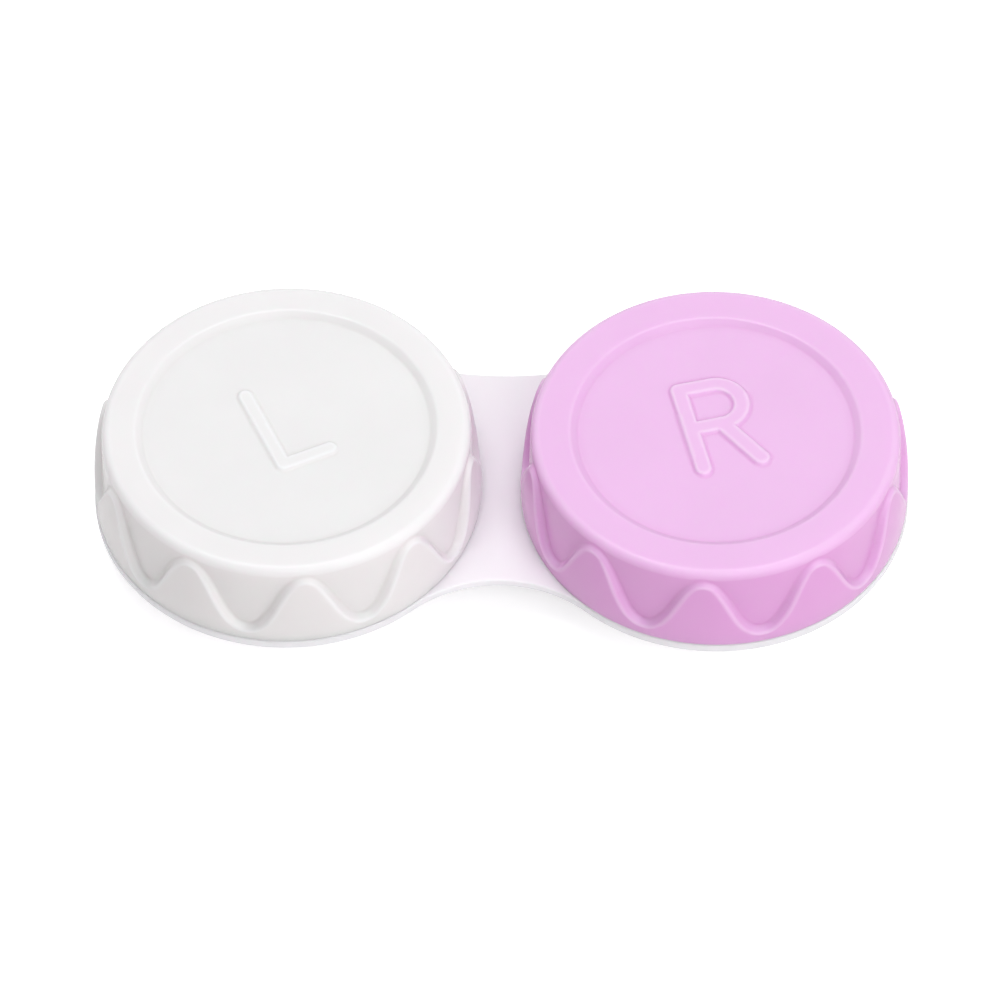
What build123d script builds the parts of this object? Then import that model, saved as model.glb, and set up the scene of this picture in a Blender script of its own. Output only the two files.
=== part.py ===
from build123d import *
import os
from math import atan2, cos, degrees, hypot, pi, radians, sin, sqrt

# Contact lens case: one twin-well base, two screw caps (marked L and R) and a
# soft sealing liner inside each cap.
# Frame: millimetres, +Z up, origin on the table plane midway between the two
# wells, +X towards the right-eye well, +Y towards the back, caps screwed shut.

# --- layout
well_pitch = 35.0            # distance between the two well axes
half_pitch = well_pitch / 2

# --- base plate
plate_bottom = 4.0           # height of the plate's underside above the table
plate_thickness = 0.88
plate_radius = 15.98         # flange round each well
plate_front_waist = 9.41     # half width of the bridge on the front side
plate_back_waist = 12.25     # half width of the bridge on the back side
plate_edge_fillet = 0.28     # lower edge
plate_top_fillet = 0.12

# --- wells and necks
neck_radius = 13.0
neck_top = 10.28
neck_foot_z = plate_bottom + 0.3   # where the neck turns in to the bowl's outside
bowl_rim_radius = 11.7
bowl_floor_z = 1.3
dish_radius = 20.0           # shallow spherical dish at the bottom of the bowl
dish_angle = 22.0            # where the dish turns into the side
bowl_wall = 1.1
outer_side_angle = 48.5      # where the outside of the bowl's side ends
rim_fillet = 0.35
bowl_cutter_rise = 1.0       # the bowl cutter stands this far over the neck

# --- foot rings, bevelled where they meet the table
foot_outer_radius = 8.2
foot_inner_radius = 7.0
foot_outer_bevel = 0.25
foot_inner_bevel_width = 0.2
foot_inner_bevel_height = 0.35
foot_outer_top = 2.2         # the tops are sunk in the bowl wall
foot_inner_top = 1.7

# --- two-start right-hand thread, 4 mm lead
thread_starts = 2
thread_lead = 4.0
thread_sink = 0.1            # how far each ridge is rooted in its wall
thread_crest_fillet = 0.1
neck_thread_start_z = 6.4
neck_thread_rise = 3.0
neck_thread_crest = 13.65
neck_thread_root_half = 0.52
neck_thread_crest_half = 0.25
cap_thread_drop = 0.68       # cap thread sits this far under the neck thread
cap_thread_rise = 3.3
cap_thread_crest = 13.25
cap_thread_root_half = 0.46
cap_thread_crest_half = 0.225

# --- caps
skirt_bottom = 4.93
skirt_chamfer = 0.08
cap_top = 13.03
wall_radius = 15.07          # plain wall at the top face
wall_foot_radius = 15.32     # the wall is drafted: wider at the skirt
cap_bore = 13.9
bore_chamfer = 0.25          # at the mouth of the bore
bore_fillet = 0.4            # between bore and ceiling
bore_overrun = 1.0           # the bore cutter reaches this far below the skirt
ceiling_z = 11.3
cap_top_fillet = 0.75
recess_depth = 0.44
recess_floor = cap_top - recess_depth
recess_rim_fillet = 0.3
recess_floor_fillet = 0.25
left_recess_radius = 12.25   # at the top face
right_recess_radius = 11.79
left_cap_angle = 25.3        # how far each closed cap is turned
right_cap_angle = 14.2

# --- raised letters, strokes given by their centre lines
letter_height = 0.27
letter_sink = 0.2            # letters start this far under the recess floor
l_stroke = 1.32
l_stem_x, l_right_x = -1.66, 2.41
l_top_y, l_foot_y = 4.57, -3.29
r_stroke = 1.47
r_stem_x, r_bar_end_x = -1.875, 0.80
r_top_y, r_middle_y, r_foot_y = 4.94, 0.78, -3.44
r_leg_stroke = 1.5
r_leg_start = (0.755, r_middle_y)
r_leg_end = (2.98, -3.41)

# --- grip band round the side of each cap
band_radius = 15.87          # at the skirt
band_belly_radius = 15.93    # it bellies out a little above the skirt
band_belly_z = 7.4
band_crown_radius = 15.42    # and thins towards the wall at the wave crests
band_crown_z = 12.2
band_inner_radius = 14.5     # sunk in the cap wall
band_inner_rise = 0.2        # the band's top face rises inwards by this much
wave_count = 10
wave_mid_z = 9.08            # middle line of the wave
wave_amplitude = 2.98
wave_rounding = 0.04         # third harmonic that rounds crests and valleys
wave_bevel_half = 0.21       # half width of the bevel, along the surface
wave_steps = 28              # spline spans along one wave
pocket_near, pocket_far = 14.25, 15.95   # inner and outer faces of the cutter
pocket_reach = 0.25          # overlap of the cutter past each crest
pocket_top = 14.5

# --- sealing liners
liner_radius = 13.82
liner_bottom = 10.3
liner_top = 11.28
liner_groove_depth = 0.3     # the middle of the underside is hollowed
liner_groove_radius = 10.6
liner_land_radius = 10.9     # inner edge of the flat sealing ring
liner_bottom_bevel = 0.15
liner_top_bevel = 0.4


def side_plane(well_x):
    """Upright plane through a well axis, local x outward and local y up."""
    return Plane((well_x, 0, 0), x_dir=(1, 0, 0), z_dir=(0, -1, 0))


def well_axis(well_x):
    return Axis((well_x, 0, 0), (0, 0, 1))


def save(part, name):
    part.label = name
    export_step(part, f"parts/{name}.step")


# --- threads ---------------------------------------------------------------
def make_thread(start_z, rise, wall, root, crest, root_half, crest_half):
    """One start of a thread about Z: a tapered ridge swept along a helix."""
    with BuildPart() as thread:
        with BuildLine(Plane.XY.offset(start_z)):
            Helix(pitch=thread_lead, height=rise, radius=wall)
        with BuildSketch(Plane.XZ) as ridge:
            with BuildLine():
                Polyline(
                    (root, start_z - root_half),
                    (crest, start_z - crest_half),
                    (crest, start_z + crest_half),
                    (root, start_z + root_half),
                    close=True,
                )
            make_face()
            crest_side = -1 if crest > root else 0
            fillet(ridge.vertices().group_by(Axis.X)[crest_side], thread_crest_fillet)
        sweep(is_frenet=True)
    return thread.part


def thread_places(x, turn):
    """One location for each thread start, all turned by the same angle."""
    return [
        Location((x, 0, 0), (0, 0, 360 / thread_starts * start + turn))
        for start in range(thread_starts)
    ]


# --- base: figure-of-eight plate, two bowls with feet, threaded necks --------
def waist_touch(apex):
    """Where the waist arc through (0, apex) is tangent to the right plate circle."""
    arc_radius = (half_pitch**2 + apex**2 - plate_radius**2) / (2 * (plate_radius - apex))
    share = plate_radius / (plate_radius + arc_radius)
    return half_pitch * (1 - share), (apex + arc_radius) * share


def arc_points(centre_x, centre_z, radius, start, end):
    """Start, middle and end of a profile arc, angles in degrees from straight down."""
    return [
        (centre_x + radius * sin(radians(angle)), centre_z - radius * cos(radians(angle)))
        for angle in (start, (start + end) / 2, end)
    ]


# Bowl profile: dish, side arc tangent to it, then a vertical lip
dish_turn = radians(dish_angle)
side_radius = (bowl_rim_radius - dish_radius * sin(dish_turn)) / (1 - sin(dish_turn))
side_x = bowl_rim_radius - side_radius
dish_z = bowl_floor_z + dish_radius
side_z = dish_z - (dish_radius - side_radius) * cos(dish_turn)
inner_dish = arc_points(0, dish_z, dish_radius, 0, dish_angle)
inner_side = arc_points(side_x, side_z, side_radius, dish_angle, 90)
outer_side = arc_points(side_x, side_z, side_radius + bowl_wall, outer_side_angle, dish_angle)
outer_dish = arc_points(0, dish_z, dish_radius + bowl_wall, dish_angle, 0)


def make_base(thread):
    back_x, back_y = waist_touch(plate_back_waist)
    front_x, front_y = waist_touch(plate_front_waist)
    plate_end = half_pitch + plate_radius
    with BuildPart() as base:
        with BuildSketch(Plane.XY.offset(plate_bottom)):
            with BuildLine():
                ThreePointArc((-back_x, back_y), (0, plate_back_waist), (back_x, back_y))
                ThreePointArc((back_x, back_y), (plate_end, 0), (front_x, -front_y))
                ThreePointArc((front_x, -front_y), (0, -plate_front_waist), (-front_x, -front_y))
                ThreePointArc((-front_x, -front_y), (-plate_end, 0), (-back_x, back_y))
            make_face()
        extrude(amount=plate_thickness)
        fillet(edges().group_by(Axis.Z)[0], plate_edge_fillet)
        fillet(edges().group_by(Axis.Z)[-1], plate_top_fillet)
        for well_x in (-half_pitch, half_pitch):
            # bowl and neck
            with BuildSketch(side_plane(well_x)):
                with BuildLine():
                    Polyline(
                        (bowl_rim_radius, side_z),
                        (bowl_rim_radius, neck_top),
                        (neck_radius, neck_top),
                        (neck_radius, neck_foot_z),
                    )
                    Line((neck_radius, neck_foot_z), outer_side[0])
                    ThreePointArc(*outer_side)
                    ThreePointArc(*outer_dish)
                    Line(outer_dish[-1], (0, bowl_floor_z))
                    ThreePointArc(*inner_dish)
                    ThreePointArc(*inner_side)
                make_face()
            revolve(axis=well_axis(well_x))
            # foot ring the case stands on
            with BuildSketch(side_plane(well_x)):
                with BuildLine():
                    Polyline(
                        (foot_inner_radius, foot_inner_bevel_height),
                        (foot_inner_radius + foot_inner_bevel_width, 0),
                        (foot_outer_radius - foot_outer_bevel, 0),
                        (foot_outer_radius, foot_outer_bevel),
                        (foot_outer_radius, foot_outer_top),
                        (foot_inner_radius, foot_inner_top),
                        close=True,
                    )
                make_face()
            revolve(axis=well_axis(well_x))
            # the plate runs straight across, so each bowl is opened again through it
            with BuildSketch(side_plane(well_x)):
                with BuildLine():
                    ThreePointArc(*inner_dish)
                    ThreePointArc(*inner_side)
                    Polyline(
                        (bowl_rim_radius, side_z),
                        (bowl_rim_radius, neck_top + bowl_cutter_rise),
                        (0, neck_top + bowl_cutter_rise),
                        (0, bowl_floor_z),
                    )
                make_face()
            revolve(axis=well_axis(well_x), mode=Mode.SUBTRACT)
        circles = edges().filter_by(GeomType.CIRCLE)
        fillet(circles.filter_by_position(Axis.Z, neck_top - 0.01, neck_top + 0.01), rim_fillet)
        for well_x in (-half_pitch, half_pitch):
            with Locations(*thread_places(well_x, 0)):
                add(thread)
    return base.part


# --- grip band: its upper edge rises and falls in rounded waves, bevelled back
# to the plain wall above it ---------------------------------------------------
mid_radius = (band_radius + wall_radius) / 2


def bevel_ends(phi):
    """Inner and outer ends of the wave's bevel at one angle, as (x, y, z)."""
    turn = wave_count * phi
    rise = (cos(turn) - wave_rounding * cos(3 * turn)) / (1 - wave_rounding)
    fall = (sin(turn) - 3 * wave_rounding * sin(3 * turn)) / (1 - wave_rounding)
    slope = wave_amplitude * wave_count / mid_radius * fall
    size = sqrt(1 + slope**2)
    shift = -slope / size * wave_bevel_half / mid_radius
    lift = wave_bevel_half / size
    z = wave_mid_z - wave_amplitude * rise
    return [
        (radius * cos(angle), radius * sin(angle), height)
        for angle, radius, height in (
            (phi + shift, wall_radius, z + lift),
            (phi - shift, band_radius, z - lift),
        )
    ]


def wave_point(phi, plane_x):
    """Where the bevel line at one angle crosses the plane x = plane_x, as (y, z)."""
    inner, outer = bevel_ends(phi)
    share = (plane_x - inner[0]) / (outer[0] - inner[0])
    return (
        inner[1] + share * (outer[1] - inner[1]),
        inner[2] + share * (outer[2] - inner[2]),
    )


def make_wave_pocket():
    """Cutter for one wave valley on the +X side, from crest to crest."""
    half_wave = pi / wave_count
    with BuildPart() as pocket:
        for plane_x in (pocket_near, pocket_far):
            wave = [
                wave_point(half_wave * (2 * i / wave_steps - 1), plane_x)
                for i in range(wave_steps + 1)
            ]
            start_y, start_z = wave[0]
            end_y, end_z = wave[-1]
            with BuildSketch(Plane.YZ.offset(plane_x)):
                with BuildLine():
                    Spline(*wave, tangents=((1, 0), (1, 0)))
                    Polyline(
                        (end_y, end_z),
                        (end_y + pocket_reach, end_z),
                        (end_y + pocket_reach, pocket_top),
                        (start_y - pocket_reach, pocket_top),
                        (start_y - pocket_reach, start_z),
                        (start_y, start_z),
                    )
                make_face()
        loft(ruled=True)
    return pocket.part


def make_grip_band(pocket):
    with BuildPart() as band:
        with BuildSketch(Plane.XZ):
            with BuildLine():
                ThreePointArc(
                    (band_radius, skirt_bottom),
                    (band_belly_radius, band_belly_z),
                    (band_crown_radius, band_crown_z),
                )
                Polyline(
                    (band_crown_radius, band_crown_z),
                    (band_inner_radius, band_crown_z + band_inner_rise),
                    (band_inner_radius, skirt_bottom),
                    (band_radius, skirt_bottom),
                )
            make_face()
        revolve(axis=Axis.Z)
        bottom_circles = band.edges().filter_by(GeomType.CIRCLE).group_by(Axis.Z)[0]
        chamfer(bottom_circles.sort_by(SortBy.RADIUS)[-1], skirt_chamfer)
        with PolarLocations(0, wave_count, start_angle=180 / wave_count):
            add(pocket, mode=Mode.SUBTRACT)
    return band.part


# --- letters ---------------------------------------------------------------
def stroke(start, end, width):
    """Add a round-ended stroke between two points to the active sketch."""
    run, rise = end[0] - start[0], end[1] - start[1]
    with Locations(((start[0] + end[0]) / 2, (start[1] + end[1]) / 2)):
        SlotCenterToCenter(hypot(run, rise), width, rotation=degrees(atan2(rise, run)))


def make_letter_l():
    with BuildSketch() as letter:
        stroke((l_stem_x, l_foot_y), (l_stem_x, l_top_y), l_stroke)
        stroke((l_stem_x, l_foot_y), (l_right_x, l_foot_y), l_stroke)
    return letter.sketch


def draw_r_loop(inset):
    """Draw the closed upper part of the R in the active line, moved in by inset."""
    left = r_stem_x + inset
    top = r_top_y - inset
    bottom = r_middle_y + inset
    middle = (r_top_y + r_middle_y) / 2
    bulge_x = r_bar_end_x + (r_top_y - r_middle_y) / 2 - inset
    Line((left, top), (r_bar_end_x, top))
    ThreePointArc((r_bar_end_x, top), (bulge_x, middle), (r_bar_end_x, bottom))
    Line((r_bar_end_x, bottom), (left, bottom))
    Line((left, bottom), (left, top))


def make_letter_r():
    with BuildSketch() as letter:
        with BuildLine():
            draw_r_loop(0)
        make_face()
        offset(amount=r_stroke / 2, kind=Kind.ARC)
        with BuildLine():
            draw_r_loop(r_stroke / 2)
        make_face(mode=Mode.SUBTRACT)
        stroke((r_stem_x, r_foot_y), (r_stem_x, r_middle_y), r_stroke)
        stroke(r_leg_start, r_leg_end, r_leg_stroke)
    return letter.sketch


# --- caps ------------------------------------------------------------------
def cap_plane(well_x, angle, z):
    """Flat plane at height z, turned with the cap."""
    x_dir = (cos(radians(angle)), sin(radians(angle)), 0)
    return Plane((well_x, 0, z), x_dir=x_dir, z_dir=(0, 0, 1))


def nearest_corner(sketch, x, y):
    return sketch.vertices().sort_by(lambda v: abs(v.X - x) + abs(v.Y - y))[0]


def make_cap(well_x, angle, recess_radius, letter, band, thread):
    recess_floor_radius = recess_radius - recess_depth
    with BuildPart(cap_plane(well_x, angle, 0)) as cap:
        # plain core with the recessed top
        with BuildSketch(side_plane(well_x)) as core:
            with BuildLine():
                Polyline(
                    (0, recess_floor),
                    (recess_floor_radius, recess_floor),
                    (recess_radius, cap_top),
                    (wall_radius, cap_top),
                    (wall_foot_radius, skirt_bottom),
                    (0, skirt_bottom),
                    (0, recess_floor),
                )
            make_face()
            for x, y, radius in (
                (wall_radius, cap_top, cap_top_fillet),
                (recess_radius, cap_top, recess_rim_fillet),
                (recess_floor_radius, recess_floor, recess_floor_fillet),
            ):
                fillet(nearest_corner(core, x, y), radius)
        revolve(axis=well_axis(well_x))
        with Locations((0, 0, 0)):
            add(band)
        with BuildSketch(side_plane(well_x)) as bore:
            with BuildLine():
                Polyline(
                    (0, skirt_bottom - bore_overrun),
                    (cap_bore + bore_chamfer, skirt_bottom - bore_overrun),
                    (cap_bore + bore_chamfer, skirt_bottom),
                    (cap_bore, skirt_bottom + bore_chamfer),
                    (cap_bore, ceiling_z),
                    (0, ceiling_z),
                    close=True,
                )
            make_face()
            fillet(nearest_corner(bore, cap_bore, ceiling_z), bore_fillet)
        revolve(axis=well_axis(well_x), mode=Mode.SUBTRACT)
        with BuildSketch(cap_plane(well_x, angle, recess_floor - letter_sink)):
            add(letter)
        extrude(amount=letter_sink + letter_height)
        # cap workplane is turned, so the thread is turned back to mesh with the neck
        with Locations(*thread_places(0, -angle)):
            add(thread)
    return cap.part


# --- sealing liners: soft discs between cap ceiling and neck rim -------------
def make_seal(well_x):
    with BuildPart() as seal:
        with BuildSketch(side_plane(well_x)):
            with BuildLine():
                Polyline(
                    (0, liner_bottom + liner_groove_depth),
                    (liner_groove_radius, liner_bottom + liner_groove_depth),
                    (liner_land_radius, liner_bottom),
                    (liner_radius - liner_bottom_bevel, liner_bottom),
                    (liner_radius, liner_bottom + liner_bottom_bevel),
                    (liner_radius, liner_top - liner_top_bevel),
                    (liner_radius - liner_top_bevel, liner_top),
                    (0, liner_top),
                    close=True,
                )
            make_face()
        revolve(axis=well_axis(well_x))
    return seal.part


# --- build and export --------------------------------------------------------
os.makedirs("parts", exist_ok=True)

neck_thread = make_thread(
    start_z=neck_thread_start_z,
    rise=neck_thread_rise,
    wall=neck_radius,
    root=neck_radius - thread_sink,
    crest=neck_thread_crest,
    root_half=neck_thread_root_half,
    crest_half=neck_thread_crest_half,
)
cap_thread = make_thread(
    start_z=neck_thread_start_z - cap_thread_drop,
    rise=cap_thread_rise,
    wall=cap_bore,
    root=cap_bore + thread_sink,
    crest=cap_thread_crest,
    root_half=cap_thread_root_half,
    crest_half=cap_thread_crest_half,
)
grip_band = make_grip_band(make_wave_pocket())

save(make_base(neck_thread), "base_body")
for side, well_x, angle, recess_radius, letter in (
    ("left", -half_pitch, left_cap_angle, left_recess_radius, make_letter_l()),
    ("right", half_pitch, right_cap_angle, right_recess_radius, make_letter_r()),
):
    save(make_cap(well_x, angle, recess_radius, letter, grip_band, cap_thread), f"{side}_cap")
    save(make_seal(well_x), f"{side}_seal")
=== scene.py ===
"""Contact lens case: a base plate with two wells, each under a screw cap with a soft seal.

The wells stand side by side along x, the left one at -x. The front faces -y, and the
feet stand at z = 0. Shapes are worked out in millimetres and scaled to metres when a
mesh is made. Profiles are rows of (radius, height) about a well's upright axis.
"""
import math

import bpy
import numpy as np
from mathutils import Matrix, Vector


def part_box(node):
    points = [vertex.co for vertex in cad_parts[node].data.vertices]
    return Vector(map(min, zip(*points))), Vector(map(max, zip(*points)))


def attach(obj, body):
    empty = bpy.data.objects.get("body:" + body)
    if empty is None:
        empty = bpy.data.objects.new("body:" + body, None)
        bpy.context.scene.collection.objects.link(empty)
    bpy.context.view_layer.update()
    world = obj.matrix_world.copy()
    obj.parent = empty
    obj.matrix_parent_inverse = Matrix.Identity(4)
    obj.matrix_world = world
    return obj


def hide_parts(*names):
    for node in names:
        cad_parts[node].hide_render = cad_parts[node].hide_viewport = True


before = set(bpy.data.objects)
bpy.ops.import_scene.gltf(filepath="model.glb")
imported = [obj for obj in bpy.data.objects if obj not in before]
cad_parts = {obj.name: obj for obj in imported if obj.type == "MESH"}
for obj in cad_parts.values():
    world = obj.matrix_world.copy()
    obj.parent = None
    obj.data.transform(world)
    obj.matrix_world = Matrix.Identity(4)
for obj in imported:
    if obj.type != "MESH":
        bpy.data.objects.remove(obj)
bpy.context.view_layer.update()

MM = 0.001
TAU = 2 * math.pi
SIDES = ("left", "right")


def box_mm(node):
    low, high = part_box(node)
    return np.array(low) / MM, np.array(high) / MM


# ---------------------------------------------------------------------------
# Overall sizes, from the CAD boxes
# ---------------------------------------------------------------------------
cap_boxes = {side: box_mm(side + "_cap") for side in SIDES}
base_high = box_mm("base_body")[1]
CENTRE_X = {
    side: round(float((low[0] + high[0]) / 2), 4) for side, (low, high) in cap_boxes.items()
}
SKIRT_Z = float(cap_boxes["left"][0][2])
CAP_TOP = float(cap_boxes["left"][1][2])
NECK_TOP = float(base_high[2])
HALF_PITCH = (CENTRE_X["right"] - CENTRE_X["left"]) / 2
PLATE_R = float(base_high[0]) - HALF_PITCH  # plate outline round each well
PLATE_BOTTOM, PLATE_TOP = 4.0, 4.88
THREAD_LEAD = 4.0
THREAD_HEIGHT = 0.65


# ---------------------------------------------------------------------------
# Profiles and points
# ---------------------------------------------------------------------------
ARC_STEP = math.radians(11)  # widest step round a rounded corner


def unit(vector):
    return vector / np.linalg.norm(vector)


def smooth(x):
    x = np.clip(x, 0, 1)
    return x * x * (3 - 2 * x)


def rounded(corners):
    """Profile through rows of (r, z, corner radius, spacing of the straight after it)."""
    points = [np.array(corner[:2], float) for corner in corners]
    bends = []  # start, end and centre of each corner's arc
    for i, (_, _, radius, _) in enumerate(corners):
        here = points[i]
        if i in (0, len(corners) - 1) or not radius:
            bends.append((here, here, None))
            continue
        back, ahead = unit(points[i - 1] - here), unit(points[i + 1] - here)
        half_angle = math.acos(max(-1, min(1, float(back @ ahead)))) / 2
        reach = radius / math.tan(half_angle)
        centre = here + unit(back + ahead) * radius / math.sin(half_angle)
        bends.append((here + back * reach, here + ahead * reach, centre))
    out = []
    for i, (start, end, centre) in enumerate(bends):
        if centre is None:
            out.append(start)
        else:
            first, last = start - centre, end - centre
            across = np.array([-first[1], first[0]])
            sweep = math.atan2(across @ last, first @ last)
            steps = max(4, math.ceil(abs(sweep) / ARC_STEP))
            for k in range(steps + 1):
                angle = sweep * k / steps
                out.append(centre + (first * math.cos(angle) + across * math.sin(angle)))
        if i + 1 < len(bends):
            straight = bends[i + 1][0] - end
            steps = max(1, math.ceil(np.linalg.norm(straight) / corners[i][3] - 1e-6))
            out += [end + straight * k / steps for k in range(1, steps)]
    keep = [out[0]]
    for point in out[1:]:
        if np.linalg.norm(point - keep[-1]) > 1e-5:
            keep.append(point)
    return np.array(keep)


def arc_points(centre_r, centre_z, radius, start, end, step):
    """Profile arc from start to end, in degrees from straight down."""
    count = max(2, math.ceil(abs(math.radians(end - start)) * radius / step))
    angles = np.radians(np.linspace(start, end, count + 1))
    return np.stack([centre_r + radius * np.sin(angles), centre_z - radius * np.cos(angles)], 1)


def place(centre_x, x, y, z):
    """Points in the frame from arrays x, y about a well's axis, at height z."""
    return np.stack([centre_x + x, y, np.broadcast_to(z, x.shape)], 1)


def rings(centre_x, angles, profile, mirror=1):
    """One ring of points for each (radius, z); a radius may vary with angle."""
    for radius, z in profile:
        x, y = radius * np.cos(angles), radius * np.sin(angles)
        yield place(centre_x, mirror * x, y, z)


def thread(angles, z, start_z, rise, root, crest, height=THREAD_HEIGHT):
    """Height at z of a two-start right-hand thread ridge that climbs by rise.

    root and crest are half its width at the foot and at the top."""
    fade = math.radians(7)
    longest = TAU * rise / THREAD_LEAD
    out = np.zeros(angles.shape)
    for start in range(2):
        along = np.mod(angles - start * math.pi, TAU)
        off = np.abs(z - (start_z + THREAD_LEAD * along / TAU))
        flank = np.clip((root - off) / (root - crest), 0, 1)
        flank = 0.45 * flank + 0.55 * smooth(flank)
        ends = smooth(along / fade) * smooth((longest - along) / fade)
        out = np.maximum(out, height * flank * np.where(along <= longest, ends, 0))
    return out


# ---------------------------------------------------------------------------
# Meshes
# ---------------------------------------------------------------------------
FULL_BEND = 2.5  # curvature, per mm, that counts as 1
BEND_PASSES = 3  # rounds of averaging with neighbours


def store_bend_for_wear_and_shade(mesh, handled=None):
    """Signed curvature per vertex, as attribute "edge".

    It is about +1 on a sharp outer edge and -1 in a crease. The materials turn it into paler edges,
    partly rubbed wear and partly painted highlight, and into painted shade in creases.
    handled(points, bend) adjusts it for chosen surfaces."""
    count = len(mesh.vertices)
    places, normals = np.empty(count * 3), np.empty(count * 3)
    mesh.vertices.foreach_get("co", places)
    mesh.vertex_normals.foreach_get("vector", normals)
    ends = np.empty(len(mesh.edges) * 2, dtype=np.int64)
    mesh.edges.foreach_get("vertices", ends)
    places, normals = places.reshape(-1, 3) / MM, normals.reshape(-1, 3)
    first, second = ends.reshape(-1, 2).T
    step = places[second] - places[first]
    turn = ((normals[second] - normals[first]) * step).sum(1)
    turn /= np.maximum((step * step).sum(1), 1e-6)
    # the strongest outward and inward bend among the edges at each vertex
    highest, lowest = np.full(count, -9.0), np.full(count, 9.0)
    for end in (first, second):
        np.maximum.at(highest, end, turn)
        np.minimum.at(lowest, end, turn)
    bend = np.clip(np.where(highest > -lowest, highest, lowest) / FULL_BEND, -1, 1)
    for _ in range(BEND_PASSES):
        total, shares = bend.copy(), np.ones(count)
        for here, there in ((first, second), (second, first)):
            np.add.at(total, here, bend[there])
            np.add.at(shares, here, 1)
        bend = total / shares
    if handled:
        bend = handled(places, bend)
    attribute = mesh.attributes.new("edge", "FLOAT", "POINT")
    attribute.data.foreach_set("value", bend.astype(np.float32))


class Shell:
    """Vertices and faces gathered ring by ring, in millimetres."""

    def __init__(self):
        self.points, self.faces, self.count = [], [], 0

    def add(self, points):
        """Add points and return their indices."""
        start = self.count
        self.points.append(np.asarray(points, float))
        self.count += len(points)
        return np.arange(start, self.count)

    def add_quads(self, quads, flip):
        self.faces.append(quads[:, ::-1] if flip else quads)

    def bridge(self, a, b, flip=False, closed=True):
        """Quads from ring a to ring b."""
        if closed:
            quads = np.stack([a, b, np.roll(b, -1), np.roll(a, -1)], 1)
        else:
            quads = np.stack([a[:-1], b[:-1], b[1:], a[1:]], 1)
        self.add_quads(quads, flip)

    def skin(self, last, point_rings, flip=False, closed=True):
        """Carry the surface from ring last through each ring; returns the final ring."""
        for points in point_rings:
            ring = self.add(points)
            self.bridge(last, ring, flip, closed)
            last = ring
        return last

    def disc(self, count, radius, put, flip=False):
        """Even square grid bent into a disc; returns its rim, starting at angle 0.

        put(x, y) turns the flat grid into points."""
        span = np.linspace(-1, 1, count + 1)
        a, b = np.meshgrid(span, span, indexing="ij")
        wide = np.abs(a) >= np.abs(b)
        with np.errstate(divide="ignore", invalid="ignore"):
            angle_a = np.where(a != 0, math.pi / 4 * b / a, 0)
            angle_b = np.where(b != 0, math.pi / 2 - math.pi / 4 * a / b, 0)
        reach = np.where(wide, a, b)
        angle = np.where(wide, angle_a, angle_b)
        x, y = radius * reach * np.cos(angle), radius * reach * np.sin(angle)
        grid = self.add(put(x.ravel(), y.ravel())).reshape(count + 1, count + 1)
        quads = np.stack([grid[:-1, :-1], grid[1:, :-1], grid[1:, 1:], grid[:-1, 1:]], -1)
        self.add_quads(quads.reshape(-1, 4), flip)
        rim = [grid[count, :-1], grid[:0:-1, count], grid[0, :0:-1], grid[:-1, 0]]
        return np.roll(np.concatenate(rim), -(count // 2))

    def build(self, name, join_middle=False, handled=None):
        """Make the object; join_middle merges matching vertices on the plane x = 0."""
        points, faces = np.concatenate(self.points), np.concatenate(self.faces)
        if join_middle:
            spots = np.where(np.abs(points[:, 0]) < 1e-6)[0]
            key = np.round(points[spots], 5)
            _, first, group = np.unique(key, axis=0, return_index=True, return_inverse=True)
            target = np.arange(len(points))
            target[spots] = spots[first[group.ravel()]]
            used, faces = np.unique(target[faces], return_inverse=True)
            points, faces = points[used], faces.reshape(-1, 4)
        mesh = bpy.data.meshes.new(name)
        mesh.vertices.add(len(points))
        mesh.vertices.foreach_set("co", (points * MM).astype(np.float32).ravel())
        mesh.loops.add(faces.size)
        mesh.loops.foreach_set("vertex_index", faces.astype(np.int32).ravel())
        mesh.polygons.add(len(faces))
        mesh.polygons.foreach_set("loop_start", np.arange(0, faces.size, 4, dtype=np.int32))
        mesh.polygons.foreach_set("use_smooth", np.ones(len(faces), bool))
        mesh.update(calc_edges=True)
        mesh.validate()
        store_bend_for_wear_and_shade(mesh, handled)
        ob = bpy.data.objects.new(name, mesh)
        bpy.context.scene.collection.objects.link(ob)
        return ob


# ---------------------------------------------------------------------------
# Caps
# ---------------------------------------------------------------------------
CAP_COLS = 720  # points round a ring
CAP_DISC_R = 6.9  # flat grid in the middle of the top and of the ceiling
TURN = {"left": 25.3, "right": 14.2}  # degrees each cap is turned, anticlockwise from above
WALL_R, WALL_FOOT_R = 15.07, 15.32  # side wall, without the band, at the top and the skirt
TOP_ROUND = 0.75
BORE_R, CEILING = 13.9, 11.3
BORE_MOUTH, BORE_END = SKIRT_Z + 0.36, CEILING - 0.9  # ends of the straight bore
FOOT_Z = SKIRT_Z + 0.12  # where the side wall gives way to the skirt edge
RECESS_R = {"left": 12.25, "right": 11.79}  # sunk top
RECESS_FLOOR = CAP_TOP - 0.44

# raised grip band round the lower wall, with a wavy upper edge
BAND_R = 15.87
BAND_ARC = ((BAND_R, 4.93), (15.93, 7.4), (15.42, 12.2))  # (r, z) on its bulging face
WAVES = 10
WAVE_MID, WAVE_AMP = 9.08, 2.98
WAVE_ROUND = 0.04  # share of the third harmonic
WAVE_HALF = 0.25  # half the width of the band's sloping edge

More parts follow.
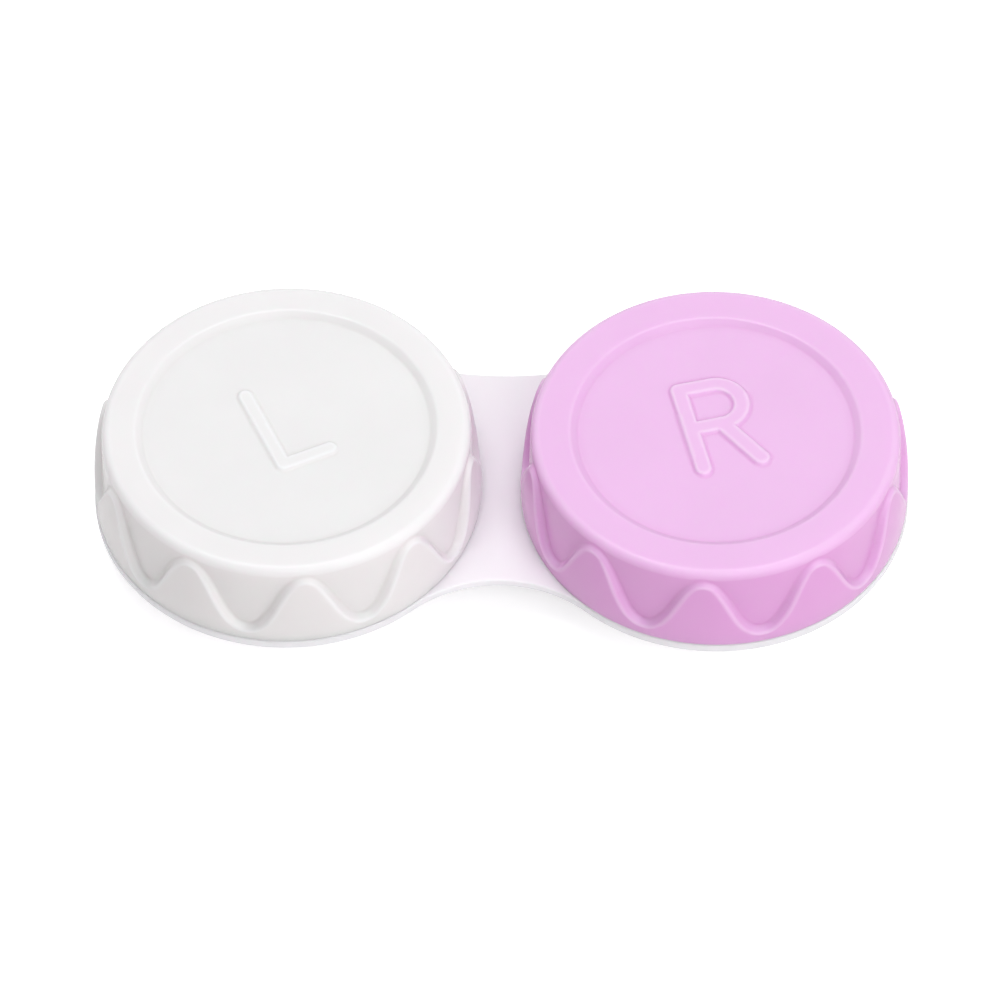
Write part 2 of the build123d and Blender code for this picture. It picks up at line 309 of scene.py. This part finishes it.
# letters: strokes of (start, end, half width), in (x, y) from the cap's centre
LETTER_HEIGHT = {"left": 0.19, "right": 0.25}
L_STEM_X, L_FOOT_Y, L_HALF = -1.66, -3.29, 0.66
R_STEM_X, R_TOP, R_MIDDLE, R_HALF = -1.875, 4.94, 0.78, 0.735
BOWL_X, BOWL_Y, BOWL_R = 0.80, (R_TOP + R_MIDDLE) / 2, (R_TOP - R_MIDDLE) / 2
STROKES = {
    "left": (
        ((L_STEM_X, 4.57), (L_STEM_X, L_FOOT_Y), L_HALF),
        ((L_STEM_X, L_FOOT_Y), (2.41, L_FOOT_Y), L_HALF),
    ),
    "right": (
        ((R_STEM_X, R_TOP), (R_STEM_X, -3.44), R_HALF),
        ((R_STEM_X, R_TOP), (BOWL_X, R_TOP), R_HALF),
        ((R_STEM_X, R_MIDDLE), (BOWL_X, R_MIDDLE), R_HALF),
        ((0.755, R_MIDDLE), (2.98, -3.41), 0.77),
    ),
}


def band_radius(z):
    """Radius of the band's face at height z: the circle through BAND_ARC."""
    (x0, y0), (x1, y1), (x2, y2) = BAND_ARC
    sides = np.array([[2 * (x1 - x0), 2 * (y1 - y0)], [2 * (x2 - x0), 2 * (y2 - y0)]])
    totals = np.array([x1**2 - x0**2 + y1**2 - y0**2, x2**2 - x0**2 + y2**2 - y0**2])
    centre_r, centre_z = np.linalg.solve(sides, totals)
    radius = math.hypot(x0 - centre_r, y0 - centre_z)
    return centre_r + np.sqrt(radius * radius - (z - centre_z) ** 2)


def wave_height(phase):
    wave = (np.cos(phase) - WAVE_ROUND * np.cos(3 * phase)) / (1 - WAVE_ROUND)
    return WAVE_MID + WAVE_AMP * wave


def wave_relief(heights):
    """How far the band stands proud (0 to 1) for each height and column."""
    per_wave = CAP_COLS // WAVES
    middle_r = (BAND_R + WALL_R) / 2
    angles = np.arange(per_wave) / per_wave * TAU / WAVES
    # the wavy line, run past both ends of one wave
    line_angles = np.linspace(-0.5, 1.5, 900) * TAU / WAVES
    line_z = wave_height(WAVES * line_angles)
    gaps = angles[:, None] * middle_r - line_angles * middle_r
    out = np.zeros((len(heights), per_wave))
    for i, z in enumerate(heights):
        depth = np.sqrt(gaps**2 + (z - line_z) ** 2).min(1)
        depth = np.where(z < wave_height(WAVES * angles), depth, -depth)
        share = np.clip((depth + WAVE_HALF) / (2 * WAVE_HALF), 0, 1)
        out[i] = 0.25 * share + 0.75 * smooth(share)
    return np.tile(out, (1, WAVES))


def stroke(x, y, start, end):
    """Distance from points to the segment from start to end."""
    x0, y0 = start
    run_x, run_y = end[0] - x0, end[1] - y0
    share = ((x - x0) * run_x + (y - y0) * run_y) / (run_x * run_x + run_y * run_y)
    share = np.clip(share, 0, 1)
    return np.hypot(x - x0 - share * run_x, y - y0 - share * run_y)


def letter_rise(side, x, y):
    """Height of the raised letter: L on the left cap, R on the right."""
    lines = [stroke(x, y, start, end) - half for start, end, half in STROKES[side]]
    if side == "right":
        bowl = np.abs(np.hypot(x - BOWL_X, y - BOWL_Y) - BOWL_R) - R_HALF
        lines.append(np.where(x >= BOWL_X, bowl, np.inf))
    outside = np.minimum.reduce(lines)
    # the flank runs from 0.14 outside the outline to 0.22 inside it
    return LETTER_HEIGHT[side] * smooth((0.14 - outside) / 0.36)


def cap_side():
    """Outer side: rounded top edge, then the wall with its band, down to FOOT_Z."""
    slant = (WALL_FOOT_R - WALL_R) / (CAP_TOP - SKIRT_Z)
    corner = np.radians(np.linspace(90, 0, 17))
    corner_r = WALL_R - TOP_ROUND + TOP_ROUND * np.cos(corner) + slant * TOP_ROUND
    corner_z = CAP_TOP - TOP_ROUND + TOP_ROUND * np.sin(corner)
    wall_z = np.linspace(CAP_TOP - TOP_ROUND, FOOT_Z, 100)[1:]
    side_r = np.concatenate([corner_r, WALL_R + slant * (CAP_TOP - wall_z)])
    side_z = np.concatenate([corner_z, wall_z])
    proud = np.clip(band_radius(side_z) - side_r, 0, None)
    return zip(side_r[:, None] + wave_relief(side_z) * proud[:, None], side_z)


def make_cap(side):
    grid = CAP_COLS // 4
    centre_x, turn, recess_r = CENTRE_X[side], math.radians(TURN[side]), RECESS_R[side]
    angles = np.arange(CAP_COLS) / CAP_COLS * TAU + turn
    shell = Shell()

    def turned(x, y, z):
        turned_x = x * math.cos(turn) - y * math.sin(turn)
        turned_y = x * math.sin(turn) + y * math.cos(turn)
        return place(centre_x, turned_x, turned_y, z)

    def top(x, y):
        return turned(x, y, RECESS_FLOOR + letter_rise(side, x, y))

    recess = rounded(
        [
            (CAP_DISC_R, RECESS_FLOOR, 0, 0.5),
            (recess_r - 0.52, RECESS_FLOOR, 0.35, 0.1),
            (recess_r + 0.12, CAP_TOP, 0.5, 0.3),
            (WALL_R - 0.73, CAP_TOP, 0, 0.3),
        ]
    )[1:-1]
    skirt_edge = rounded(
        [
            (BAND_R, FOOT_Z, 0, 0.2),
            (BAND_R, SKIRT_Z, 0.04, 0.4),
            (BORE_R + 0.25, SKIRT_Z, 0.1, 0.3),
            (BORE_R, SKIRT_Z + 0.25, 0.1, 0.3),
            (BORE_R, BORE_MOUTH, 0, 0.3),
        ]
    )[1:]
    bore = [
        (BORE_R - thread(angles, z, start_z=5.72, rise=3.3, root=0.46, crest=0.225), z)
        for z in np.linspace(BORE_MOUTH, BORE_END, 76)[1:]
    ]
    ceiling = rounded(
        [(BORE_R, BORE_END, 0, 0.3), (BORE_R, CEILING, 0.4, 0.8), (CAP_DISC_R, CEILING, 0, 0.5)]
    )[1:-1]

    last = shell.disc(grid, CAP_DISC_R, top)
    for profile in (recess, cap_side(), skirt_edge, bore, ceiling):
        last = shell.skin(last, rings(centre_x, angles, profile))
    rim = shell.disc(grid, CAP_DISC_R, lambda x, y: turned(x, y, CEILING), flip=True)
    shell.bridge(last, rim)

    def letter_and_recess_bend(places, bend):
        # the raised letter is made a little paler; near the recess edge the bend is weakened, so
        # the edge lightening and the painted crease shade there are fainter
        r, z = np.hypot(places[:, 0] - centre_x, places[:, 1]), places[:, 2]
        letter = smooth((z - RECESS_FLOOR - 0.08) / 0.1) * (r < CAP_DISC_R)
        calm = (np.abs(r - recess_r + 0.2) < 1.1) & (z > RECESS_FLOOR - 0.05)
        return np.where(calm, 0.6 * bend, bend) + 0.36 * letter

    return shell.build(side + "_cap_shell", handled=letter_and_recess_bend)


# ---------------------------------------------------------------------------
# Base: plate, bowls, threaded necks and feet in one closed skin
# ---------------------------------------------------------------------------
BASE_COLS = 480
BASE_DISC_R = 5.0  # grid in the middle of each bowl and of its underside
FRONT_WAIST, BACK_WAIST = 9.41, 12.25  # plate's reach from y = 0 at x = 0
EDGE, EDGE_TOP = 0.28, 0.12  # rounding of the plate's lower and upper edge
NECK_R, NECK_FILLET = 13.0, 0.2
NECK_STRAIGHT = NECK_TOP - 0.36  # where the thread wall starts below the neck's lip

# the bowl: a spherical dish as far as DISH_ANGLE, then a tighter arc up to the rim
DISH_R, DISH_ANGLE, RIM_R, BOWL_WALL = 20.0, 22.0, 11.7, 1.1
DISH_Z = 1.3 + DISH_R  # sphere centre, above the bowl's floor
DISH_SINE = math.sin(math.radians(DISH_ANGLE))
SIDE_R = (RIM_R - DISH_R * DISH_SINE) / (1 - DISH_SINE)
SIDE_X = RIM_R - SIDE_R
SIDE_Z = DISH_Z - (DISH_R - SIDE_R) * math.cos(math.radians(DISH_ANGLE))
UNDER_R = DISH_R + BOWL_WALL
UNDER_SIDE_R = SIDE_R + BOWL_WALL
FLARE_ANGLE = 48.5  # where the underside's arc stops below the plate
FOOT_OUT_R, FOOT_IN_R, FOOT_MEET_R = 8.2, 7.0, 6.6


def waist_arc(reach):
    """Centre's y and radius of the arc at x = 0 that is tangent to both plate circles."""
    radius = (HALF_PITCH**2 + reach**2 - PLATE_R**2) / (2 * (PLATE_R - reach))
    return reach + radius, radius


def plate_outline():
    """Column angles, plate edge, its outward direction, and the columns on that edge.

    Angles are taken from the direction of the other well. The first columns end on the
    middle plane between the wells; the rest end on the flat inside the rounded edge."""
    front = math.atan2(-FRONT_WAIST, HALF_PITCH)
    back = math.atan2(BACK_WAIST, HALF_PITCH)
    middle = round((back - front) / TAU * BASE_COLS)
    angles = np.concatenate(
        [
            np.linspace(front, back, middle + 1)[:-1],
            np.linspace(back, front + TAU, BASE_COLS - middle + 1)[:-1],
        ]
    )
    front_y, front_r = waist_arc(FRONT_WAIST)
    back_y, back_r = waist_arc(BACK_WAIST)
    edge, outward = np.zeros((BASE_COLS, 2)), np.zeros((BASE_COLS, 2))
    for i, angle in enumerate(angles):
        ray = np.array([math.cos(angle), math.sin(angle)])
        wrapped = (angle + math.pi) % TAU - math.pi
        if back - 1e-9 <= wrapped <= math.atan2(back_y, HALF_PITCH):
            centre, radius = np.array([HALF_PITCH, back_y]), back_r
        elif math.atan2(-front_y, HALF_PITCH) <= wrapped <= front + 1e-9:
            centre, radius = np.array([HALF_PITCH, -front_y]), front_r
        else:
            edge[i], outward[i] = ray * PLATE_R, ray
            continue
        along = centre @ ray
        root = math.sqrt(max(0, along * along - centre @ centre + radius * radius))
        edge[i] = ray * (along - root)
        outward[i] = unit(centre - edge[i])
    outward[0], outward[middle] = (0, -1), (0, 1)
    inner = edge - outward * EDGE
    inner[: middle + 1, 0] = HALF_PITCH
    inner[: middle + 1, 1] = np.linspace(-FRONT_WAIST + EDGE, BACK_WAIST - EDGE, middle + 1)
    outer_cols = np.arange(middle, BASE_COLS + 1) % BASE_COLS
    return angles, inner, outward, outer_cols


def bowl_profile():
    """Bowl from the disc's rim up and over the lip of the neck."""
    dish_start = math.degrees(math.asin(BASE_DISC_R / DISH_R))
    lip = [
        (RIM_R, SIDE_Z, 0, 0.3),
        (RIM_R, NECK_TOP, 0.35, 0.3),
        (NECK_R, NECK_TOP, 0.35, 0.3),
        (NECK_R, NECK_STRAIGHT, 0, 0.3),
    ]
    parts = [
        arc_points(0, DISH_Z, DISH_R, dish_start, DISH_ANGLE, step=0.35)[1:],
        arc_points(SIDE_X, SIDE_Z, SIDE_R, DISH_ANGLE, 90, step=0.3)[1:],
        rounded(lip)[1:],
    ]
    return np.concatenate(parts)


def neck_profile(row_angles):
    """Threaded neck down to the fillet that meets the plate."""
    for z in np.linspace(NECK_STRAIGHT, PLATE_TOP + 0.22, 84)[1:]:
        yield NECK_R + thread(row_angles, z, start_z=6.4, rise=3.0, root=0.52, crest=0.25), z
    for a in np.radians([22, 45, 68, 90]):
        yield NECK_R + NECK_FILLET * (1 - math.cos(a)), PLATE_TOP + NECK_FILLET * (1 - math.sin(a))


def edge_profile():
    """Rounded plate edge, from the top down: (distance outward, z)."""
    for a in np.radians(np.linspace(0, 90, 6)):
        yield EDGE - EDGE_TOP * (1 - math.sin(a)), PLATE_TOP - EDGE_TOP * (1 - math.cos(a))
    yield EDGE, (PLATE_BOTTOM + PLATE_TOP) / 2 + 0.08
    for a in np.radians(np.linspace(0, 75, 6)):
        yield EDGE * math.cos(a), PLATE_BOTTOM + EDGE * (1 - math.sin(a))


def under_z(radius):
    """Height of the dish's underside."""
    return DISH_Z - math.sqrt(UNDER_R**2 - radius**2)


def under_profile(flare):
    """Underside from the flare below the plate, over the foot ring, to the disc's rim."""
    foot_angle = math.degrees(math.asin((FOOT_OUT_R - SIDE_X) / UNDER_SIDE_R))
    foot_top = SIDE_Z - math.sqrt(UNDER_SIDE_R**2 - (FOOT_OUT_R - SIDE_X) ** 2)
    foot = [
        (FOOT_OUT_R, foot_top, 0, 0.3),
        (FOOT_OUT_R, 0.0, 0.25, 0.3),
        (FOOT_IN_R + 0.1, 0.0, 0.15, 0.3),
        (FOOT_IN_R, under_z(FOOT_IN_R), 0.15, 0.3),
        (FOOT_MEET_R, under_z(FOOT_MEET_R), 0, 0.3),
    ]
    dish_start, dish_end = (
        math.degrees(math.asin(radius / UNDER_R)) for radius in (FOOT_MEET_R, BASE_DISC_R)
    )
    parts = [
        np.array([flare]),
        arc_points(SIDE_X, SIDE_Z, UNDER_SIDE_R, FLARE_ANGLE, foot_angle, step=0.35)[1:],
        rounded(foot)[1:],
        arc_points(0, DISH_Z, UNDER_R, dish_start, dish_end, step=0.4)[1:-1],
    ]
    return np.concatenate(parts)


def add_well(shell, centre_x, mirror, outline):
    """One well with its half of the plate; mirror is -1 for the right one."""
    angles, inner, outward, outer_cols = outline
    flip = mirror < 0
    row_angles = math.pi - angles if flip else angles
    directions = np.stack([np.cos(angles), np.sin(angles)], 1)
    even_angles = np.arange(BASE_COLS + 1) / BASE_COLS * TAU
    column_angles = np.concatenate([angles, [angles[0] + TAU]])

    def add_disc(sphere_r, flip):
        """Middle of a dish, with its rim points moved onto the columns."""

        def put(x, y):
            r = np.hypot(x, y)
            a = np.interp(np.mod(np.arctan2(y, x), TAU), even_angles, column_angles)
            z = DISH_Z - np.sqrt(sphere_r**2 - r**2)
            return place(centre_x, mirror * r * np.cos(a), r * np.sin(a), z)

        return shell.disc(BASE_COLS // 4, BASE_DISC_R, put, flip)

    def loop(xy, z):
        return place(centre_x, mirror * xy[:, 0], xy[:, 1], z)

    def flat(start, end, steps, z):
        return (loop(start + (end - start) * k / steps, z) for k in range(1, steps + 1))

    def follow(last, profile):
        return shell.skin(last, rings(centre_x, angles, profile, mirror), flip)

    last = add_disc(DISH_R, flip)
    last = follow(last, bowl_profile())
    last = follow(last, neck_profile(row_angles))
    top_start = (NECK_R + NECK_FILLET) * directions
    last = shell.skin(last, flat(top_start, inner, 9, PLATE_TOP), flip)

    # the edge of the plate, only where there is an outside
    edge_rings = (
        loop(inner[outer_cols] + outward[outer_cols] * offset, z)[:]
        for offset, z in edge_profile()
    )
    last = shell.skin(last[outer_cols], edge_rings, flip, closed=False)
    low = shell.add(loop(inner, PLATE_BOTTOM))
    shell.bridge(last, low[outer_cols], flip, closed=False)

    # flat underside, in to where the bowl flares out to the neck
    flare_turn = math.radians(FLARE_ANGLE)
    flare_r = SIDE_X + UNDER_SIDE_R * math.sin(flare_turn)
    flare_z = SIDE_Z - UNDER_SIDE_R * math.cos(flare_turn)
    share = (PLATE_BOTTOM - flare_z) / (PLATE_BOTTOM + 0.3 - flare_z)
    meet = (flare_r + (NECK_R - flare_r) * share) * directions
    last = shell.skin(low, flat(inner, meet, 11, PLATE_BOTTOM), flip)
    last = follow(last, under_profile((flare_r, flare_z)))
    shell.bridge(last, add_disc(UNDER_R, not flip), flip)


def make_base():
    shell = Shell()
    outline = plate_outline()
    for side, mirror in (("left", 1), ("right", -1)):
        add_well(shell, CENTRE_X[side], mirror, outline)
    return shell.build("base_shell", join_middle=True)


# ---------------------------------------------------------------------------
# Seals
# ---------------------------------------------------------------------------
SEAL_COLS = 360
SEAL_DISC_R = 8.0


def make_seal(side):
    """Disc with a hollow in the middle of its underside and a fine groove near the rim."""
    centre_x = CENTRE_X[side]
    low, high = box_mm(side + "_seal")
    bottom, top, radius = float(low[2]), float(high[2]), float(high[0]) - centre_x
    hollow = bottom + 0.3
    angles = np.arange(SEAL_COLS) / SEAL_COLS * TAU
    shell = Shell()

    def add_disc(z, flip=False):
        put = lambda x, y: place(centre_x, x, y, z)
        return shell.disc(SEAL_COLS // 4, SEAL_DISC_R, put, flip)

    profile = rounded(
        [
            (SEAL_DISC_R, top, 0, 0.4),
            (radius - 0.4, top, 0.15, 0.3),
            (radius, top - 0.4, 0.15, 0.3),
            (radius, bottom + 0.05, 0.1, 0.3),
            (radius - 0.15, bottom, 0.08, 0.35),
            (12.9, bottom, 0, 0.1),
            (12.75, bottom + 0.04, 0, 0.1),
            (12.6, bottom, 0, 0.3),
            (10.9, bottom, 0.15, 0.3),
            (10.6, hollow, 0.12, 0.4),
            (SEAL_DISC_R, hollow, 0, 0.4),
        ]
    )[1:-1]
    last = shell.skin(add_disc(top), rings(centre_x, angles, profile))
    shell.bridge(last, add_disc(hollow, flip=True))
    return shell.build(side + "_seal_disc")


# ---------------------------------------------------------------------------
# Materials
# ---------------------------------------------------------------------------
def linear(colour):
    """sRGB 0-255 to linear."""
    shares = [value / 255 for value in colour]
    return [v / 12.92 if v <= 0.04045 else ((v + 0.055) / 1.055) ** 2.4 for v in shares]


def rgba(colour):
    return colour if isinstance(colour, bpy.types.NodeSocket) else (*colour, 1)


class Graph:
    """Node tree of a material or world; an input may be a value or another node's output."""

    def __init__(self, owner):
        owner.use_nodes = True
        self.nodes, self.links = owner.node_tree.nodes, owner.node_tree.links

    def feed(self, node, inputs):
        for key, value in inputs.items():
            if isinstance(value, bpy.types.NodeSocket):
                self.links.new(value, node.inputs[key])
            else:
                node.inputs[key].default_value = value

    def node(self, kind, inputs={}, **settings):
        node = self.nodes.new("ShaderNode" + kind)
        for key, value in settings.items():
            setattr(node, key, value)
        self.feed(node, inputs)
        return node

    def output(self, kind, name):
        """Named output of a new node that needs no inputs."""
        return self.node(kind).outputs[name]

    def noise(self, vector, scale, detail, roughness):
        inputs = {"Scale": scale, "Detail": detail, "Roughness": roughness, "Vector": vector}
        return self.node("TexNoise", inputs).outputs["Fac"]

    def remap(self, value, source, target):
        inputs = dict(zip(("From Min", "From Max", "To Min", "To Max"), source + target))
        return self.node("MapRange", {**inputs, "Value": value}, clamp=True).outputs["Result"]

    def mix(self, share, first, second, blend="MIX"):
        inputs = {0: share, 6: rgba(first), 7: rgba(second)}
        return self.node("Mix", inputs, data_type="RGBA", blend_type=blend).outputs[2]

    def math(self, operation, first, second=0.0):
        return self.node("Math", {0: first, 1: second}, operation=operation).outputs[0]


def new_material(name):
    material = bpy.data.materials.new(name)
    graph = Graph(material)
    graph.nodes.clear()
    return material, graph


def moulded(
    name, colour, edge, hollow, sss, rough=(0.17, 0.24), radius=(1.0, 0.8, 0.9),
    sss_scale=0.0016, bump=1.0, painted_wall_shade=None, shine=0.28,
):
    """Moulded plastic: fine skin texture, slight unevenness, clouding, paler edges (partly rubbed
    wear, partly painted highlight), painted shade in creases.

    colour, edge and hollow are sRGB; the upright-wall tint is a linear tint of painted shade."""
    material, g = new_material(name)
    colour = linear(colour)
    place_on = g.output("TexCoord", "Object")
    broad = g.noise(place_on, scale=95, detail=2, roughness=0.5)
    cloud = g.noise(place_on, scale=260, detail=3, roughness=0.5)
    fine = g.noise(place_on, scale=2600, detail=3, roughness=0.6)
    medium = g.noise(place_on, scale=520, detail=4, roughness=0.6)

    # faint clouding, a little darker and a little lighter
    share = g.remap(broad, source=(0.35, 0.65), target=(0.0, 1.0))
    tone = g.mix(share, colour, [c * 0.982 for c in colour])
    share = g.remap(cloud, source=(0.4, 0.7), target=(0.0, 0.25))
    tone = g.mix(share, tone, [min(1, c * 1.02) for c in colour])
    if painted_wall_shade:
        # painted shade: upright walls get a darker, deeper tint than the flat top, in place of the
        # sheen and light that the top catches
        normal = g.node("SeparateXYZ", {0: g.output("NewGeometry", "Normal")})
        upward = g.math("ABSOLUTE", normal.outputs["Z"])
        share = g.remap(upward, source=(0.15, 0.9), target=(1.0, 0.0))
        tone = g.mix(share, tone, g.mix(1.0, tone, painted_wall_shade, "MULTIPLY"))

    # paler on outer edges: partly rubbed wear, partly painted highlight; darker in creases: painted
    # shade
    bend = g.node("Attribute", attribute_name="edge").outputs["Fac"]
    share = g.remap(bend, source=(0.25, 1.0), target=(0.0, 0.5))
    tone = g.mix(share, tone, linear(edge))
    share = g.remap(bend, source=(-0.15, -0.9), target=(0.0, 0.35))
    tone = g.mix(share, tone, linear(hollow))

    roughness = g.remap(medium, source=(0.3, 0.7), target=rough)
    worn = g.remap(bend, source=(0.3, 1.0), target=(0.0, 0.02))
    roughness = g.math("ADD", roughness, worn)
    height = g.math("ADD", g.math("MULTIPLY", fine, 0.22), g.math("MULTIPLY", medium, 0.45))
    height = g.math("ADD", height, g.math("MULTIPLY", broad, 1.6))
    relief = {"Strength": 0.35 * bump, "Distance": 0.00004, "Height": height}
    inputs = {
        "Base Color": tone,
        "Roughness": roughness,
        "IOR": 1.49,
        "Specular IOR Level": shine,
        "Subsurface Weight": sss,
        "Subsurface Radius": radius,
        "Subsurface Scale": sss_scale,
        "Normal": g.node("Bump", relief).outputs["Normal"],
    }
    surface = g.node("BsdfPrincipled", inputs).outputs["BSDF"]
    g.node("OutputMaterial", {"Surface": surface})
    return material


# edge: paler colour for outer edges, partly rubbed wear and partly painted highlight; hollow:
# painted shade in creases; the upright-wall tint: painted shade on upright walls
white_cap = moulded(
    "cap_white_pp", colour=(235, 233, 234), edge=(241, 241, 244), hollow=(229, 226, 224),
    sss=0.5, sss_scale=0.0021, painted_wall_shade=(0.975, 0.955, 0.95),
)
orchid_cap = moulded(
    "cap_orchid_pp", colour=(233, 189, 231), edge=(240, 213, 239), hollow=(223, 156, 214),
    sss=0.4, radius=(1.0, 0.55, 0.95), painted_wall_shade=(0.91, 0.73, 0.865),
)
white_base = moulded(
    "base_white_pp", colour=(239, 235, 240), edge=(243, 241, 245), hollow=(231, 226, 231),
    sss=0.45, sss_scale=0.002,
)
soft_seal = moulded(
    "seal_elastomer", colour=(228, 231, 232), edge=(240, 242, 242), hollow=(206, 210, 212),
    sss=0.5, rough=(0.42, 0.55), bump=1.6, shine=0.4,
)


# ---------------------------------------------------------------------------
# Pieces
# ---------------------------------------------------------------------------
def fit(ob, material, part, node, slot):
    """Give the object its material and put it in place of a CAD node."""
    ob.data.materials.append(material)
    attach(ob, part)
    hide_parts(node)


fit(make_base(), white_base, "base", "base_body", "base_white")
for side, cap_material, cap_slot in (
    ("left", white_cap, "cap_white"),
    ("right", orchid_cap, "cap_orchid"),
):
    fit(make_cap(side), cap_material, side + "_lid", side + "_cap", cap_slot)
    fit(make_seal(side), soft_seal, side + "_liner", side + "_seal", "seal_soft")


# ---------------------------------------------------------------------------
# Floor, lights, world and camera, in metres
# ---------------------------------------------------------------------------
FLOOR_HALF, FLOOR_Z = 3.0, -0.00002
FLOOR_GLOW = 0.45  # seen by the camera, so that shadows stay light
FOOT_GLOW = 0.16  # inside the foot rings, so that the hollows aren't black from below


def floor_material():
    material, g = new_material("floor_pale")
    place_on = g.output("TexCoord", "Object")
    patches = g.noise(place_on, scale=3, detail=2, roughness=0.5)
    tone = g.mix(patches, linear((250, 250, 250)), linear((252, 252, 252)))
    glow = g.math("MULTIPLY", g.output("LightPath", "Is Camera Ray"), FLOOR_GLOW)

    xyz = g.node("SeparateXYZ", {0: place_on}).outputs
    x = g.math("SUBTRACT", g.math("ABSOLUTE", xyz["X"]), HALF_PITCH * MM)
    x_squared = g.math("MULTIPLY", x, x)
    y_squared = g.math("MULTIPLY", xyz["Y"], xyz["Y"])
    distance = g.math("SQRT", g.math("ADD", x_squared, y_squared))
    inside = g.math("LESS_THAN", distance, FOOT_OUT_R * MM)
    spots = g.math("MULTIPLY", inside, FOOT_GLOW)
    inputs = {
        "Base Color": tone,
        "Roughness": 0.9,
        "Specular IOR Level": 0.1,
        "Emission Color": (1, 1, 1, 1),
        "Emission Strength": g.math("MAXIMUM", glow, spots),
    }
    pale = g.node("BsdfPrincipled", inputs).outputs["BSDF"]
    # seen from below it lets the view through
    clear = g.output("BsdfTransparent", "BSDF")
    sides = {0: g.output("NewGeometry", "Backfacing"), 1: pale, 2: clear}
    g.node("OutputMaterial", {"Surface": g.node("MixShader", sides).outputs["Shader"]})
    return material


def make_floor():
    mesh = bpy.data.meshes.new("floor")
    corners = [(x * FLOOR_HALF, y * FLOOR_HALF, 0) for x, y in ((-1, -1), (1, -1), (1, 1), (-1, 1))]
    mesh.from_pydata(corners, [], [(0, 1, 2, 3)])
    floor = bpy.data.objects.new("floor", mesh)
    bpy.context.scene.collection.objects.link(floor)
    floor.location.z = FLOOR_Z
    mesh.materials.append(floor_material())


LIGHT_AIM = (0, 0, 0.01)
# name, position, width, height, power in watts
LIGHTS = (
    ("key_top", (0.0, 0.05, 0.55), 0.42, 0.30, 1.5),
    ("front_high", (0.15, -0.42, 0.5), 0.5, 0.4, 1.18),
    ("side_right", (0.55, -0.35, 0.3), 0.5, 0.5, 1.16),
    ("front_strip", (0.12, -0.5, 0.46), 0.12, 0.04, 0.1),
    ("low_right", (0.42, -0.5, 0.13), 0.4, 0.4, 0.35),
    ("back_soft", (0.05, 0.6, 0.45), 0.6, 0.6, 0.7),
    ("back_left", (-0.45, 0.4, 0.35), 0.5, 0.5, 0.65),
)


def make_light(name, position, width, height, power):
    light = bpy.data.lights.new(name, "AREA")
    light.shape = "RECTANGLE"
    light.size, light.size_y = width, height
    light.energy = power
    ob = bpy.data.objects.new(name, light)
    bpy.context.scene.collection.objects.link(ob)
    ob.location = position
    aim = Vector(LIGHT_AIM) - Vector(position)
    ob.rotation_euler = aim.to_track_quat("-Z", "Y").to_euler()


def make_world():
    """Plain white in view, but only a soft light on the case."""
    world = bpy.data.worlds.new("studio")
    bpy.context.scene.world = world
    g = Graph(world)
    soft = g.nodes["Background"]
    g.feed(soft, {0: (1, 1, 1, 1), 1: 0.26})
    white = g.node("Background", {0: (1, 1, 1, 1), 1: 1.0})
    in_view = g.output("LightPath", "Is Camera Ray")
    mixed = g.node("MixShader", {0: in_view, 1: soft.outputs[0], 2: white.outputs[0]})
    g.feed(g.nodes["World Output"], {"Surface": mixed.outputs[0]})


PITCH, YAW, ROLL = (math.radians(angle) for angle in (51.528, -1.3324, -0.5624))
CAMERA_DISTANCE = 603.6  # mm
CAMERA_SHIFT = (-0.1227, -0.2523)  # mm to the view's right and up, from the plate's middle


def make_camera():
    level = math.cos(PITCH)
    forward = np.array([math.sin(YAW) * level, math.cos(YAW) * level, -math.sin(PITCH)])
    flat_right = np.array([math.cos(YAW), -math.sin(YAW), 0.0])
    flat_up = np.cross(flat_right, forward)
    right = flat_right * math.cos(ROLL) + flat_up * math.sin(ROLL)
    up = -flat_right * math.sin(ROLL) + flat_up * math.cos(ROLL)
    shift = right * CAMERA_SHIFT[0] + up * CAMERA_SHIFT[1]
    target = shift * MM + np.array([0, 0, PLATE_BOTTOM * MM])
    position = target - forward * CAMERA_DISTANCE * MM

    data = bpy.data.cameras.new("camera")
    data.sensor_fit = "HORIZONTAL"
    data.sensor_width = 36
    data.lens = 263.56
    data.clip_start = 0.01
    camera = bpy.data.objects.new("camera", data)
    bpy.context.scene.collection.objects.link(camera)
    pose = Matrix.Identity(4)
    for i in range(3):
        pose[i] = (right[i], up[i], -forward[i], position[i])
    camera.matrix_world = pose
    bpy.context.scene.camera = camera


make_floor()
for row in LIGHTS:
    make_light(*row)
make_world()
make_camera()
bpy.context.scene.view_settings.view_transform = "Standard"
bpy.context.scene.view_settings.look = "None"
